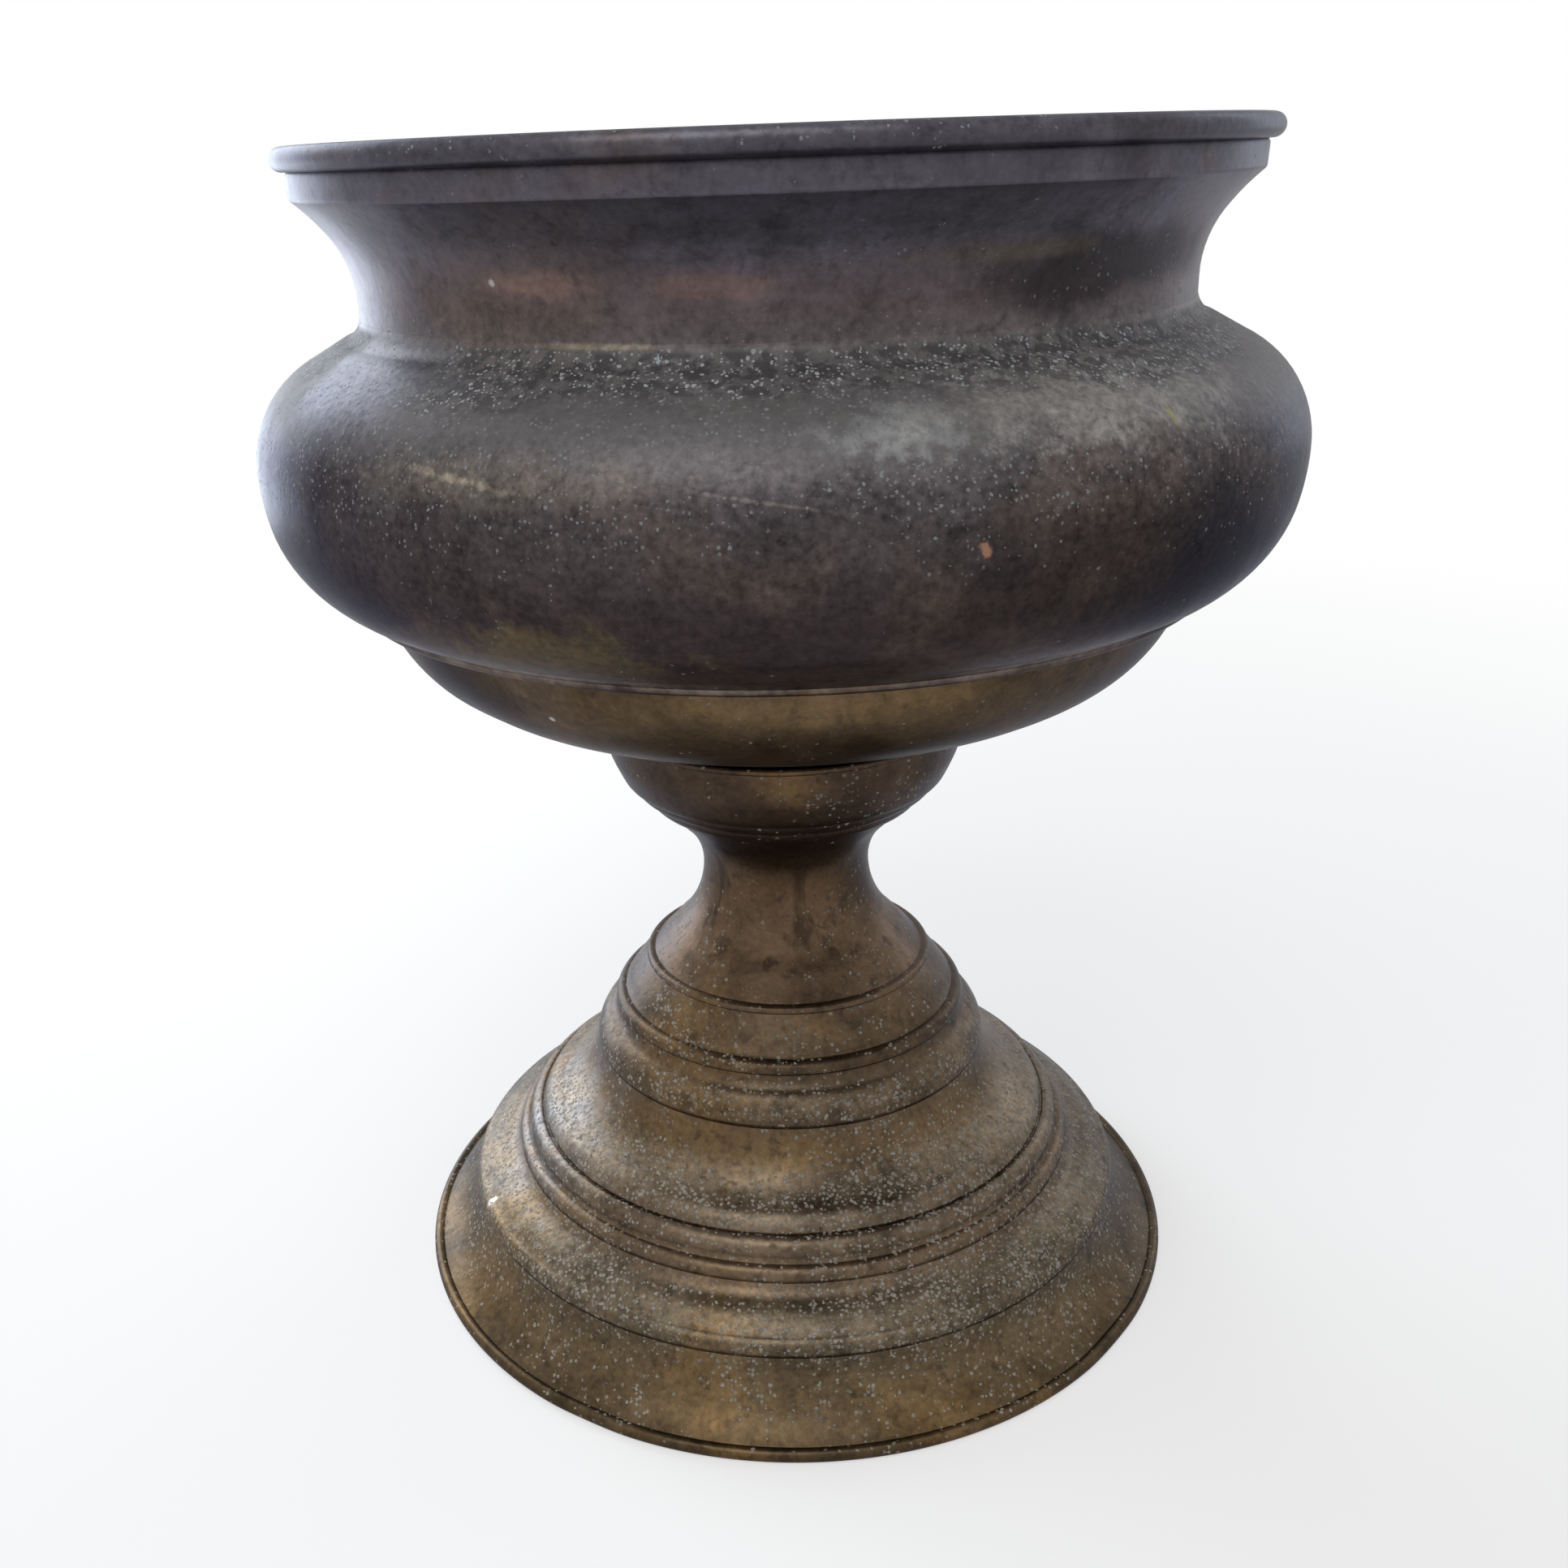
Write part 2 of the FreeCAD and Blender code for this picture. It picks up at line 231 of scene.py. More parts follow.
class nodeSheet:
    # short calls for a node tree, so that a finish reads as a list of what it does
    def __init__(self, name):
        self.material = bpy.data.materials.new(name)
        self.material.use_nodes = True
        self.tree = self.material.node_tree
        self.tree.nodes.clear()
        self.output = self.tree.nodes.new("ShaderNodeOutputMaterial")
        self.shader = self.tree.nodes.new("ShaderNodeBsdfPrincipled")
        self.tree.links.new(self.shader.outputs[0], self.output.inputs[0])
        self.coords = self.tree.nodes.new("ShaderNodeTexCoord").outputs["Object"]

    def put(self, kind, settings=None, **inputs):
        # an input is given by its name, or as i0, i1 and so on by its number
        node = self.tree.nodes.new(kind)
        for key, value in (settings or {}).items():
            setattr(node, key, value)
        for key, value in inputs.items():
            numbered = key[0] == "i" and key[1:].isdigit()
            self.join(value, node.inputs[int(key[1:]) if numbered else key])
        return node

    def join(self, value, socket):
        if isinstance(value, bpy.types.NodeSocket):
            self.tree.links.new(value, socket)
        else:
            socket.default_value = value

    def give(self, value, name):
        self.join(value, self.shader.inputs[name])

    def math(self, operation, a, b, clamp=False):
        settings = {"operation": operation, "use_clamp": clamp}
        return self.put("ShaderNodeMath", settings, i0=a, i1=b).outputs[0]

    def times(self, a, b):
        return self.math("MULTIPLY", a, b)

    def plus(self, a, b, clamp=False):
        return self.math("ADD", a, b, clamp)

    def minus(self, a, b):
        return self.math("SUBTRACT", a, b)

    def flip(self, value):
        return self.minus(1.0, value)

    def swing(self, value, reach):
        # a noise brought to swing about 0
        return self.times(self.minus(value, 0.5), reach)

    def xyz(self, vector):
        return self.put("ShaderNodeSeparateXYZ", None, Vector=vector).outputs

    def vector(self, operation, a, **inputs):
        return self.put("ShaderNodeVectorMath", {"operation": operation}, i0=a, **inputs)

    def length(self, vector):
        return self.vector("LENGTH", vector).outputs["Value"]

    def noise(self, scale, detail, rough, warp=0.0, coords=None, output=0):
        return self.put("ShaderNodeTexNoise", None, Vector=coords or self.coords, Scale=scale,
                        Detail=detail, Roughness=rough, Distortion=warp).outputs[output]

    def stretched(self, scale):
        return self.put("ShaderNodeMapping", None, Vector=self.coords, Scale=scale).outputs[0]

    def band(self, value, low, high):
        # 0 below low, 1 above high, smooth between
        node = self.put("ShaderNodeMapRange", {"interpolation_type": "SMOOTHSTEP"}, Value=value)
        node.inputs["From Min"].default_value = low
        node.inputs["From Max"].default_value = high
        return node.outputs[0]

    def mix(self, share, a, b, blend="MIX"):
        node = self.tree.nodes.new("ShaderNodeMix")
        node.data_type = "RGBA"
        node.blend_type = blend
        node.clamp_factor = True
        self.join(share, node.inputs[0])
        self.join(a, node.inputs[6])
        self.join(b, node.inputs[7])
        return node.outputs[2]

    def ramp(self, value, stops):
        node = self.put("ShaderNodeValToRGB", None, Fac=value)
        ramp = node.color_ramp
        while len(ramp.elements) < len(stops):
            ramp.elements.new(0.5)
        for element, (place, colour) in zip(ramp.elements, stops):
            element.position = place
            element.color = colour
        return node.outputs[0]


def toLinear(value):
    share = value / 255
    return share / 12.92 if share <= 0.04045 else ((share + 0.055) / 1.055) ** 2.4


def rgb(red, green, blue):
    # 0 to 255 display values to the linear numbers that the shader takes
    return (toLinear(red), toLinear(green), toLinear(blue), 1.0)


def grey(value):
    return (value, value, value, 1.0)


fullHeight = 702         # mm, over which colour and metal are given by height

noises = {
    # scale, detail, roughness and warp
    "cloud": (7.0, 6.0, 0.6, 0.5),
    "mottle": (38.0, 6.0, 0.66),
    "grain": (260.0, 3.0, 0.6),
    "line": (1.0, 3.0, 0.6),         # on stretched coordinates
    "grime": (95.0, 5.0, 0.7, 0.4),
    "crowd": (10.0, 5.0, 0.6, 0.3),
    "faint": (150.0, 2.0, 0.5),
    "wander": (9.0, 5.0, 0.65),
    "pits": (150.0, 4.0, 0.65),
    "lumps": (60.0, 4.0, 0.6),
    "wave": (13.0, 2.0, 0.5),
    "wear": (60.0, 5.0, 0.65),
    "rust": (22.0, 6.0, 0.7),
}
edges = {
    # where each of them starts and is full
    "blotch": (0.50, 0.66),
    "warm": (0.34, 0.47),
    "grime": (0.53, 0.68),
    "runs": (0.50, 0.64),
    "upward": (-0.35, 0.15),
    "faint": (0.35, 0.65),
    "pits": (0.44, 0.56),
    "lumps": (0.44, 0.62),
    "rust": (0.52, 0.68),
}
finish = {
    "loosen": 0.022,
    "mottleTone": 1.2,
    "toneRange": (0.12, 0.88),
    "toneShare": 0.8,
    "latheScale": (3.0, 3.0, 190.0),
    "drip": rgb(40, 31, 25),
    "dripStart": 12,     # mm over which a run begins
    "dripEnd": 14,
    "dripScale": 5.0,
    "speckBreak": 1.3,
    "speckMost": 1.15,
    "faintest": 0.45,
    "stoneShare": 0.85,
    "rough": (0.26, 0.24),           # smoothest, and what the mottle adds
    "stoneRough": 0.35,
    "bumpShare": 0.5,
    "waveDepth": 0.0011,
    "grainDepth": 0.0005,
    "stoneLift": 0.8,
    "grainLift": 0.5,
    "dullShine": 0.3,
}
markUsual = {
    "lean": 0,
    "grain": 60.0,       # scale of the noise that breaks its edge
    "ragged": 1.6,
    "core": 0.35,
    "share": 1.0,
    "noise": (5.0, 0.65),
}
grainUsual = {
    "size": (0.20, 0.40),            # in cells
    "shake": 0.0016,
    "shakeNoise": (1.7, 1.0, 0.5),
    "fadeIn": 0.12,
    "edge": (-0.04, 0.07),
}


def spread(s, mark):
    # 1 at the middle of a mark and 0 past its size (radial, across, up), with a broken edge
    mark = {**markUsual, **mark}
    x, y, z = (v * mm for v in mark["at"])
    turn = (math.radians(mark["lean"]), 0, math.atan2(y, x))
    local = s.put("ShaderNodeMapping", {"vector_type": "TEXTURE"}, Vector=s.coords, Location=(x, y, z),
                  Rotation=turn, Scale=[v * mm for v in mark["size"]]).outputs[0]
    broken = s.swing(s.noise(mark["grain"], *mark["noise"]), mark["ragged"])
    away = s.plus(s.length(local), broken)
    return s.times(s.flip(s.band(away, mark["core"], 1.0)), mark["share"])


def grains(s, scale, density, size=grainUsual["size"]):
    # rounded grains of uneven size, more of them where the density nears 1
    finer, detail, rough = grainUsual["shakeNoise"]
    bent = s.noise(scale * finer, detail, rough, output=1)
    bent = s.vector("SUBTRACT", bent, i1=(0.5, 0.5, 0.5)).outputs[0]
    bent = s.vector("SCALE", bent, Scale=grainUsual["shake"]).outputs[0]
    place = s.vector("ADD", s.coords, i1=bent).outputs[0]
    cells = s.put("ShaderNodeTexVoronoi", None, Vector=place, Scale=scale)
    chance = s.xyz(cells.outputs["Color"])
    there = s.band(s.minus(density, chance[0]), 0.0, grainUsual["fadeIn"])
    low, high = size
    reach = s.plus(low, s.times(chance[1], high - low))
    inside = s.band(s.minus(reach, cells.outputs["Distance"]), *grainUsual["edge"])
    return s.times(there, inside)


def layMarks(s, colour, marks):
    for mark in marks:
        colour = s.mix(spread(s, mark), colour, mark["colour"])
    return colour


def layGround(s, look, at):
    # colour by height, its bounds loosened so that no ring of colour is ruled
    zones = [(h / fullHeight, rgb(*c)) for h, c in look["zones"]]
    colour = s.ramp(s.plus(at["level"], s.swing(at["mottle"], finish["loosen"])), zones)
    blotches = s.times(s.band(at["cloud"], *edges["blotch"]), look["blotchShare"])
    colour = s.mix(blotches, colour, look["blotch"])
    warmth = s.times(s.flip(s.band(at["cloud"], *edges["warm"])), look["warmShare"])
    colour = s.mix(warmth, colour, look["warm"])
    return layMarks(s, colour, look["patches"])


def layWear(s, look, at, colour):
    # grain, lathe lines, grime, and the dark runs left by dripping water
    least, more = look["grainShare"]
    grainy = s.swing(at["grain"], s.plus(least, s.times(at["spotted"], more)))
    tone = s.plus(0.5, s.plus(s.swing(at["mottle"], finish["mottleTone"]), grainy))
    lathe = s.noise(*noises["line"], coords=s.stretched(finish["latheScale"]))
    tone = s.plus(tone, s.swing(lathe, look["latheShare"]), clamp=True)
    darkest, lightest = finish["toneRange"]
    tone = s.ramp(tone, [(0.0, grey(darkest)), (1.0, grey(lightest))])
    colour = s.mix(finish["toneShare"], colour, tone, "OVERLAY")
    grime = s.band(s.noise(*noises["grime"]), *edges["grime"])
    colour = s.mix(s.times(grime, look["grimeShare"]), colour, look["grimeColour"])
    for low, high, scale, share in look["drips"]:
        runs = s.noise(*noises["line"], coords=s.stretched((scale, scale, finish["dripScale"])))
        above = s.band(at["z"], low * mm, (low + finish["dripStart"]) * mm)
        below = s.flip(s.band(at["z"], (high - finish["dripEnd"]) * mm, high * mm))
        wet = s.times(s.band(runs, *edges["runs"]), s.times(above, below))
        colour = s.mix(s.times(wet, share), colour, finish["drip"])
    return colour


def laySpecks(s, look, at, colour):
    # hard-water specks, by height on the outer faces, crowded where water stands
    outside = s.band(at["upward"], *edges["upward"])
    crowd = s.swing(s.noise(*noises["crowd"]), look["clumps"])
    density = s.plus(s.times(at["spotted"], outside), crowd)
    for mark in look["crowds"]:
        density = s.plus(density, spread(s, mark))
    density = s.plus(density, s.swing(at["mottle"], finish["speckBreak"]))
    density = s.times(s.math("MINIMUM", density, finish["speckMost"]), look["speckFill"])
    specks = grains(s, look["speckScale"], density, look["speckSize"])
    faint = s.band(s.noise(*noises["faint"]), *edges["faint"])
    faint = s.plus(finish["faintest"], s.times(faint, 1.0 - finish["faintest"]))
    shown = s.times(s.times(specks, faint), look["speckShare"])
    return specks, s.mix(shown, colour, look["speckColour"])


def layCrust(s, plan, at, colour):
    # grainy crust in the hollow under the neck, above a dull bloom
    low, top = plan["low"] * mm, plan["top"] * mm
    under = s.flip(s.band(at["z"], top - plan["fade"] * mm, top))
    clear = 1.0
    for mark in plan["polished"]:
        clear = s.times(clear, s.flip(spread(s, mark)))
    under = s.times(under, clear)
    bloom = s.times(s.band(at["z"], low - plan["bloomReach"] * mm, low), under)
    weakest, more = plan["bloomCloud"]
    bloom = s.times(bloom, s.plus(weakest, s.times(at["cloud"], more)))
    colour = s.mix(s.times(bloom, plan["bloomShare"]), colour, plan["bloomColour"])
    wandering = s.plus(at["z"], s.swing(s.noise(*noises["wander"]), plan["wander"]))
    below, above = plan["start"]
    lie = s.times(s.band(wandering, low + below * mm, low + above * mm), under)
    pits = s.times(lie, s.flip(s.band(s.noise(*noises["pits"]), *edges["pits"])))
    colour = s.mix(s.times(pits, plan["pitShare"]), colour, plan["dark"])
    lumps = s.times(s.band(s.noise(*noises["lumps"]), *edges["lumps"]), plan["lumpFill"])
    coarse = grains(s, plan["coarse"], s.times(lumps, lie))
    fine = grains(s, plan["fine"], s.times(lie, plan["fineFill"]))
    crust = s.times(lie, s.math("MAXIMUM", coarse, fine))
    colour = s.mix(s.times(crust, plan["share"]), colour, plan["colour"])
    return crust, bloom, colour


def makePatina(name, look):
    s = nodeSheet(name)
    z = s.xyz(s.coords)[2]
    at = {
        "z": z,
        "level": s.math("DIVIDE", z, fullHeight * mm),
        "upward": s.xyz(s.put("ShaderNodeNewGeometry").outputs["Normal"])[2],
        "cloud": s.noise(*noises["cloud"]),
        "mottle": s.noise(*noises["mottle"]),
        "grain": s.noise(*noises["grain"]),
    }
    at["spotted"] = s.ramp(at["level"], [(h / fullHeight, grey(v)) for h, v in look["speckZones"]])
    colour = layWear(s, look, at, layGround(s, look, at))
    stone, colour = laySpecks(s, look, at, colour)
    if look["crust"]:
        crust, bloom, colour = layCrust(s, look["crust"], at, colour)
        stone = s.math("MAXIMUM", s.math("MAXIMUM", stone, crust), bloom)
    s.give(layMarks(s, colour, look["scratches"]), "Base Color")

    bare = s.ramp(at["level"], [(h / fullHeight, grey(v)) for h, v in look["metalZones"]])
    s.give(s.times(s.flip(s.times(stone, finish["stoneShare"])), bare), "Metallic")
    smoothest, more = finish["rough"]
    rough = s.plus(smoothest, s.times(at["mottle"], more))
    s.give(s.plus(rough, s.times(stone, finish["stoneRough"]), clamp=True), "Roughness")
    wave = s.put("ShaderNodeBump", None, Height=s.noise(*noises["wave"]), Strength=finish["bumpShare"],
                 Distance=finish["waveDepth"]).outputs[0]
    metal = s.plus(s.times(at["grain"], finish["grainLift"]), s.times(at["mottle"], finish["grainLift"]))
    lift = s.plus(s.times(stone, finish["stoneLift"]), metal)
    bump = s.put("ShaderNodeBump", None, Height=lift, Strength=finish["bumpShare"],
                 Distance=finish["grainDepth"], Normal=wave).outputs[0]
    s.give(bump, "Normal")
    s.give(finish["dullShine"], "Specular IOR Level")
    s.give(look["edgeTint"], "Specular Tint")
    return s.material


standLook = {
    "zones": [
        (0, (62, 50, 33)), (16, (90, 75, 55)), (26, (96, 81, 60)), (44, (88, 75, 58)), (52, (96, 84, 68)),
        (64, (106, 94, 77)), (72, (104, 88, 71)), (82, (104, 87, 69)), (98, (108, 94, 78)),
        (112, (112, 98, 80)), (126, (98, 80, 58)), (146, (86, 72, 57)), (158, (96, 82, 66)),
        (170, (74, 60, 46)), (190, (84, 70, 54)), (206, (88, 72, 57)), (240, (94, 76, 58)),
        (270, (86, 67, 49)), (308, (64, 51, 41)), (330, (70, 56, 45)), (366, (72, 58, 47)),
    ],
    "blotch": rgb(64, 54, 44),
    "blotchShare": 0.55,
    "warm": rgb(124, 98, 62),
    "warmShare": 0.45,
    "metalZones": [(0, 0.86), (366, 0.86)],
    "edgeTint": (0.64, 0.68, 0.76, 1.0),
    "latheShare": 0.15,
    "grainShare": (0.7, 0.9),
    "grimeShare": 0.55,
    "grimeColour": rgb(44, 38, 33),
    "patches": [
        # painted shade on the right of the waist, under the bowl
        {"at": (45, -28, 262), "size": (34, 30, 46), "colour": rgb(48, 39, 31), "share": 0.7,
         "core": 0.2, "grain": 30.0, "ragged": 0.8},
        {"at": (0, -135, 128), "size": (40, 60, 16), "colour": rgb(122, 98, 64), "share": 0.35,
         "core": 0.1, "grain": 30.0},
        # painted cool sheen where daylight from the left falls on the stand's flank
        {"at": (-175, -60, 108), "size": (80, 90, 62), "colour": rgb(118, 121, 126), "share": 0.55,
         "core": 0.1, "grain": 30.0},
    ],
    "drips": [(212, 306, 62.0, 0.65), (328, 366, 40.0, 0.35)],
    "speckZones": [
        (0, 0.15), (20, 0.35), (42, 0.45), (50, 0.85), (60, 0.9), (68, 0.7), (74, 0.4), (84, 0.4), (94, 0.5),
        (99, 0.85), (112, 0.85), (124, 0.45), (136, 0.2), (144, 0.5), (150, 0.85), (158, 0.75), (164, 0.25),
        (172, 0.4), (186, 0.3), (204, 0.12), (240, 0.1), (280, 0.05), (340, 0.05), (366, 0.12),
    ],
    "speckScale": 390.0,
    "speckFill": 1.1,
    "speckSize": (0.24, 0.52),
    "speckColour": rgb(176, 172, 162),
    "speckShare": 0.9,
    "clumps": 2.0,
    "crowds": [
        {"at": (120, -120, 110), "size": (110, 130, 100), "share": 0.25, "core": 0.0, "ragged": 0.8},
        {"at": (-40, -135, 128), "size": (40, 60, 26), "share": -0.35, "core": 0.2, "ragged": 0.8},
    ],
    "crust": None,
    "scratches": [
        {"at": (-197, -79, 56), "size": (6, 4, 9), "colour": rgb(200, 200, 192), "share": 0.8, "ragged": 0.8},
    ],
}
neckCrust = {
    "low": 588,
    "top": 613,
    "fade": 4,
    "start": (-2, 8),
    "wander": 0.05,
    "share": 0.85,
    "colour": rgb(188, 193, 196),
    "dark": rgb(58, 58, 60),
    "pitShare": 0.65,
    "lumpFill": 0.75,
    "coarse": 300.0,
    "fine": 460.0,
    "fineFill": 0.45,
    "bloomColour": rgb(124, 121, 120),
    "bloomReach": 30,
    "bloomShare": 0.7,
    "bloomCloud": (0.35, 0.6),
    "polished": [{"at": (-205, -170, 596), "size": (70, 75, 40), "core": 0.45, "grain": 20.0, "ragged": 1.0}],
}
bowlLook = {
    # colours by height; the light band at 463–470 mm is a painted highlight along the step, and the dark belly at
    # 480–525 mm is painted shade and a painted dark reflection of the ground
    "zones": [
        (369, (96, 82, 70)), (384, (110, 95, 80)), (398, (96, 82, 66)), (430, (84, 69, 51)),
        (452, (80, 66, 50)), (457, (66, 54, 49)), (463, (120, 108, 100)), (470, (104, 92, 88)),
        (480, (58, 50, 50)), (500, (56, 48, 48)), (525, (68, 61, 61)), (555, (75, 70, 71)),
        (585, (86, 82, 84)), (610, (98, 92, 92)), (628, (92, 82, 83)), (644, (98, 89, 94)),
        (655, (106, 101, 111)), (672, (104, 100, 110)), (678, (88, 84, 93)), (692, (82, 79, 87)),
        (702, (84, 82, 88)),
    ],
    "blotch": rgb(52, 44, 46),
    "blotchShare": 0.6,
    "warm": rgb(104, 88, 76),
    "warmShare": 0.4,
    "metalZones": [(369, 0.92), (520, 0.95), (560, 0.85), (600, 0.6), (640, 0.6), (668, 0.5), (702, 0.7)],
    "edgeTint": (0.52, 0.54, 0.60, 1.0),
    "latheShare": 0.18,
    "grainShare": (0.5, 2.2),
    "grimeShare": 0.35,
    "grimeColour": rgb(44, 40, 41),
    "patches": [
        # painted shade on the right side of the belly and of the flare
        {"at": (208, -200, 500), "size": (110, 190, 72), "colour": rgb(32, 28, 28), "share": 0.8,
         "core": 0.2, "grain": 9.0},
        {"at": (165, -175, 638), "size": (70, 120, 22), "colour": rgb(34, 29, 31), "share": 0.8,
         "core": 0.4, "grain": 14.0},
        # painted shade at the ends of the basin and under the belly on the left
        {"at": (-150, -140, 430), "size": (90, 60, 34), "colour": rgb(40, 33, 31), "share": 0.7,
         "core": 0.3, "grain": 14.0},
        {"at": (175, -120, 430), "size": (90, 60, 34), "colour": rgb(48, 42, 38), "share": 0.6,
         "core": 0.3, "grain": 14.0},
        {"at": (-215, -200, 480), "size": (90, 90, 30), "colour": rgb(50, 40, 42), "share": 0.6,
         "core": 0.2, "grain": 14.0},
        # bare copper-brown in the neck
        {"at": (-109, -207, 640), "size": (30, 40, 9), "colour": rgb(128, 104, 96), "share": 0.7, "grain": 30.0},
        {"at": (-29, -232, 638), "size": (30, 46, 8), "colour": rgb(120, 98, 92), "share": 0.65, "grain": 30.0},
        {"at": (100, -212, 648), "size": (30, 60, 7), "colour": rgb(104, 94, 82), "share": 0.5, "grain": 30.0},
        # golden about the step
        {"at": (0, -235, 446), "size": (60, 120, 16), "colour": rgb(116, 95, 66), "share": 0.6,
         "grain": 24.0, "ragged": 2.4},
        {"at": (-105, -250, 482), "size": (50, 80, 22), "colour": rgb(98, 84, 58), "share": 0.6,
         "grain": 34.0, "ragged": 2.4},
        # painted reflection along the step's edge, on the left and on the right
        {"at": (-98, -233, 464), "size": (20, 90, 3.6), "colour": rgb(156, 146, 142), "share": 0.55,
         "grain": 30.0, "ragged": 0.8},
        {"at": (125, -222, 464), "size": (20, 60, 3.4), "colour": rgb(134, 122, 108), "share": 0.45,
         "grain": 30.0, "ragged": 0.8},
        # painted reflection along the neck seam, painted pale sheen streaks on the shoulder's left, and a scuff at
        # the front
        {"at": (-80, -221, 613), "size": (14, 48, 2.4), "colour": rgb(150, 138, 118), "share": 0.6, "ragged": 0.9},
        {"at": (-128, -250, 563), "size": (50, 90, 16), "colour": rgb(132, 122, 106), "share": 0.28,
         "core": 0.1, "grain": 26.0, "ragged": 2.0},
        {"at": (-136, -248, 562), "size": (30, 44, 2.6), "colour": rgb(170, 158, 138), "share": 0.5,
         "core": 0.1, "grain": 160.0, "ragged": 2.4, "lean": -7},
        {"at": (-5, -287, 556), "size": (30, 50, 1.4), "colour": rgb(134, 126, 120), "share": 0.4,
         "core": 0.1, "grain": 160.0, "ragged": 1.6, "lean": -9},
        # chalky patches
        {"at": (52, -272, 582), "size": (40, 38, 13), "colour": rgb(166, 170, 168), "share": 0.55,
         "grain": 130.0, "ragged": 3.4},
        {"at": (140, -226, 588), "size": (60, 120, 30), "colour": rgb(176, 171, 164), "share": 0.65,
         "core": 0.1, "grain": 60.0, "ragged": 2.0},
    ],
    "drips": [],
    "speckZones": [
        (369, 0.05), (455, 0.1), (470, 0.15), (500, 0.25), (530, 0.4), (560, 0.55), (580, 0.7), (605, 0.6),
        (618, 0.2), (640, 0.05), (690, 0.05), (702, 0.25),
    ],
    "speckScale": 430.0,
    "speckFill": 0.75,
    "speckSize": (0.2, 0.42),
    "speckColour": rgb(168, 172, 176),
    "speckShare": 0.7,
    "clumps": 1.8,
    "crowds": [
        {"at": (60, -270, 572), "size": (60, 150, 34), "share": 0.3, "core": 0.0, "ragged": 0.8},
        {"at": (58, -272, 584), "size": (40, 30, 12), "share": 0.7, "core": 0.2, "ragged": 1.4},
        {"at": (240, -150, 540), "size": (60, 90, 60), "share": 0.15, "core": 0.0, "ragged": 0.8},
    ],
    "crust": neckCrust,
    "scratches": [
        {"at": (87, -283, 531), "size": (8, 3.0, 5.0), "colour": rgb(160, 122, 96), "share": 0.75,
         "grain": 260.0, "lean": 25, "ragged": 2.2},
        {"at": (177, -221, 578), "size": (8, 1.8, 10), "colour": rgb(150, 148, 84), "share": 0.7,
         "grain": 200.0, "ragged": 1.2},
        {"at": (178, -219, 566), "size": (8, 2.2, 5), "colour": rgb(190, 186, 160), "share": 0.7,
         "grain": 200.0, "ragged": 1.0},
        {"at": (-128, -197, 640), "size": (5, 2.2, 2.2), "colour": rgb(196, 194, 190), "share": 0.8, "ragged": 0.8},
        {"at": (-116, -193, 429), "size": (5, 2.4, 2.0), "colour": rgb(190, 188, 180), "share": 0.8, "ragged": 0.8},
    ],
}
steelLook = {
    "plain": rgb(128, 126, 122),
    "plainRough": 0.4,
    "wire": rgb(96, 92, 88),
    "wireRough": 0.5,
    "worn": rgb(70, 68, 66),
    "wornShare": 0.5,
    "rust": rgb(104, 66, 44),
    "rustShare": 0.7,
    "rustRough": 0.3,
    "metal": 0.8,
    "bumpShare": 0.2,
    "bumpDepth": 0.0003,
}


def makeSteel(name, colour, rough):
    s = nodeSheet(name)
    wear = s.noise(*noises["wear"])
    rust = s.band(s.noise(*noises["rust"]), *edges["rust"])
    shade = s.mix(s.times(wear, steelLook["wornShare"]), colour, steelLook["worn"])
    s.give(s.mix(s.times(rust, steelLook["rustShare"]), shade, steelLook["rust"]), "Base Color")
    s.give(steelLook["metal"], "Metallic")
    s.give(s.plus(rough, s.times(rust, steelLook["rustRough"]), clamp=True), "Roughness")
    bump = s.put("ShaderNodeBump", None, Height=wear, Strength=steelLook["bumpShare"],
                 Distance=steelLook["bumpDepth"]).outputs[0]
    s.give(bump, "Normal")
    return s.material


standFinish = makePatina("standPatina", standLook)
bowlFinish = makePatina("bowlPatina", bowlLook)
steelFinish = makeSteel("plainSteel", steelLook["plain"], steelLook["plainRough"])
wireFinish = makeSteel("drawnWire", steelLook["wire"], steelLook["wireRough"])

keptNodes = {
    # shown as the solids are, in these finishes
    "seat_plate": steelFinish,
    "tie_rod": steelFinish,
    "bridge_bar": steelFinish,
    "rod_washer_top": steelFinish,
    "rod_nut_top": steelFinish,
    "rod_washer_bottom": steelFinish,
    "rod_nut_bottom": steelFinish,
    "base_wire": wireFinish,
    "rim_wire": wireFinish,
    "bowl_foot": bowlFinish,
}
for node, material in keptNodes.items():
    frame["nodes"][node].data.materials.clear()
    frame["nodes"][node].data.materials.append(material)
print("finishes made")


# the stand, from the floor up; meridians are (radius, height, swell) in mm, dents (place, reach, depth)

footSkirt = {
    "steps": 256,
    "meridian": [
        (243.06, 4.19), (245.06, 0.0, 0.74), (248.94, 0.0), (251.0, 3.5, 0.55), (247.0, 7.5, 1.17),
        (244.43, 6.56, 0.24), (216.4, 45.0, -5.4), (217.2, 49.5, 0.5), (211.6, 56.3, 1.4),
        (194.0, 66.7, 1.4), (186.0, 73.4, -0.9), (180.2, 81.9, 2.3), (166.0, 82.0), (166.0, 86.0),
    ],
    "dents": [((-120, -212, 22), 34, 1.2), ((190, -150, 24), 40, 1.4), ((60, 238, 20), 40, 1.6)],
}
makeSpun("spun_foot_skirt", "foot_skirt", footSkirt, standFinish)

footBead = {
    "steps": 224,
    "meridian": [
        (166.1, 82.0), (179.4, 82.0), (178.3, 86.2, -0.4), (171.2, 95.3, 2.1), (169.8, 94.6, 0.2),
        (152.0, 94.5), (152.0, 98.5),
    ],
}
makeSpun("spun_foot_bead", "foot_bead", footBead, standFinish)

